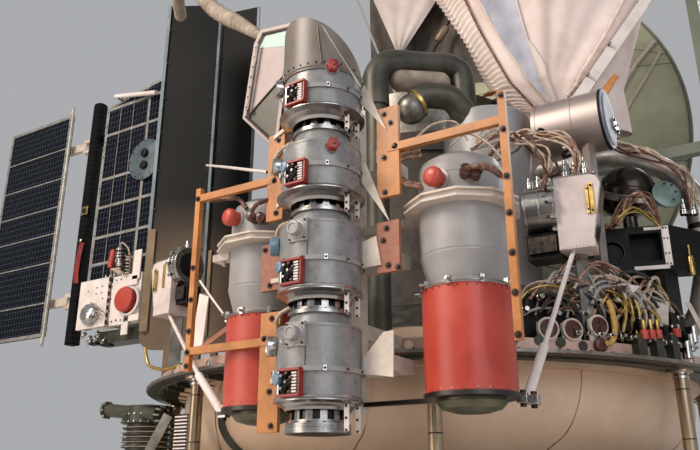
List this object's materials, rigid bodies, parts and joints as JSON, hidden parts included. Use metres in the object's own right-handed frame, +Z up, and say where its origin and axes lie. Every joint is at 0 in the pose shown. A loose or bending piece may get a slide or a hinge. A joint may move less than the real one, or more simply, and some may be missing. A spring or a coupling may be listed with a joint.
{
  "type": "interplanetary probe",
  "caption": "Planetary probe on a low stand: ring hull, central tank, folding solar wings, dish, drum instruments, bottles and star trackers.",
  "frame": {"origin": "on the floor under the axis of the bus", "axes": "+Z up along the bus axis, front with the drum stack at -Y, solar wings along X"},
  "size_m": [7.34, 3.148, 3.4098],
  "materials": {
    "hull_paint": "cream enamel, satin",
    "rim_metal": "dull aluminium",
    "tank_metal": "grey-green anodised aluminium",
    "engine_metal": "dark heat-stained steel",
    "stand_steel": "grey workshop paint",
    "post_steel": "worn plated steel",
    "drum_paint": "blue-grey hammered enamel",
    "bright_metal": "machined and polished",
    "neck_metal": "machined with black vents",
    "primer_paint": "pale primer",
    "orange_paint": "ochre orange enamel",
    "canister_paint": "grey enamel",
    "red_paint": "red satin enamel",
    "foot_metal": "yellow passivated",
    "white_paint": "white enamel",
    "panel_cells": "dark blue solar cells in a pale frame",
    "spar_wrap": "black wrapped spar",
    "wing_metal": "cream-grey aluminium",
    "dish_paint": "greenish grey enamel",
    "cover_cloth": "off-white cotton",
    "shield_metal": "dark bronze sheet",
    "hood_metal": "pale dull sheet",
    "black_paint": "black enamel",
    "duct_metal": "olive silver",
    "pot_paint": "dark olive enamel",
    "brown_paint": "reddish brown primer",
    "pod_paint": "tan enamel",
    "bottle_metal": "dark green enamel"
  },
  "bodies": {
    "bus": {"ring_hull": "hull_paint", "rim_ring": "rim_metal", "tank_skirt": "rim_metal", "tank_body": "tank_metal", "engine_block": "engine_metal", "engine_nozzle": "engine_metal", "stand_base": "stand_steel", "stand_posts": "post_steel", "finned_pot": "pot_paint", "drum_cases": "drum_paint", "drum_skirts": "bright_metal", "drum_necks": "neck_metal", "carrier_frame": "primer_paint", "drum_brackets": "primer_paint", "orange_frame": "orange_paint", "brown_plates": "brown_paint", "drum_cowl": "hood_metal", "side_hood": "hood_metal", "bottle_cases": "canister_paint", "bottle_sleeves": "red_paint", "bottle_collars": "primer_paint", "bottle_feet": "foot_metal", "tracker_heads": "white_paint", "tracker_barrels": "bright_metal", "tracker_stalks": "rim_metal", "white_struts": "white_paint", "wing_root_left": "wing_metal", "wing_root_right": "wing_metal", "dish_bowl": "dish_paint", "dish_mast": "rim_metal", "dish_feed": "bright_metal", "tank_adapter": "rim_metal", "upper_deck": "rim_metal", "fabric_cover": "cover_cloth", "front_shield": "shield_metal", "rear_shield": "shield_metal", "shield_feet": "rim_metal", "camera_box": "black_paint", "camera_pedestal": "rim_metal", "bulb_tank": "bottle_metal", "baffle_barrel": "bright_metal", "lid_ears": "rim_metal", "rear_canister": "canister_paint", "arch_duct": "duct_metal", "side_duct": "duct_metal", "elbow_duct": "duct_metal", "duct_pod": "pod_paint", "square_brace": "white_paint", "gas_bottles": "bottle_metal"},
    "inner_wing_left": {"inner_panel_left": "panel_cells", "wing_spar_left": "spar_wrap", "wing_instruments": "white_paint"},
    "outer_wing_left": {"outer_panel_left": "panel_cells", "outer_arms_left": "wing_metal"},
    "inner_wing_right": {"inner_panel_right": "panel_cells", "wing_spar_right": "spar_wrap"},
    "outer_wing_right": {"outer_panel_right": "panel_cells", "outer_arms_right": "wing_metal"},
    "lid": {"baffle_lid": "bright_metal"}
  },
  "joints": [
    {"name": "wing_root_left", "type": "hinge", "parent": "bus", "child": "inner_wing_left", "pos_m": [-1.5, 0.06, 2], "axis": [0, 0, 1], "range_deg": [-85, 0]},
    {"name": "wing_fold_left", "type": "hinge", "parent": "inner_wing_left", "child": "outer_wing_left", "pos_m": [-2.706, 0.074, 2], "axis": [0, 0, 1], "range_deg": [-170, 0]},
    {"name": "wing_root_right", "type": "hinge", "parent": "bus", "child": "inner_wing_right", "pos_m": [1.5, 0.06, 2], "axis": [0, 0, 1], "range_deg": [0, 85]},
    {"name": "wing_fold_right", "type": "hinge", "parent": "inner_wing_right", "child": "outer_wing_right", "pos_m": [2.706, 0.074, 2], "axis": [0, 0, 1], "range_deg": [0, 170]},
    {"name": "lid_hinge", "type": "hinge", "parent": "bus", "child": "lid", "pos_m": [1.081, -0.478, 1.483], "axis": [0, 0, 1], "range_deg": [0, 135]}
  ]
}
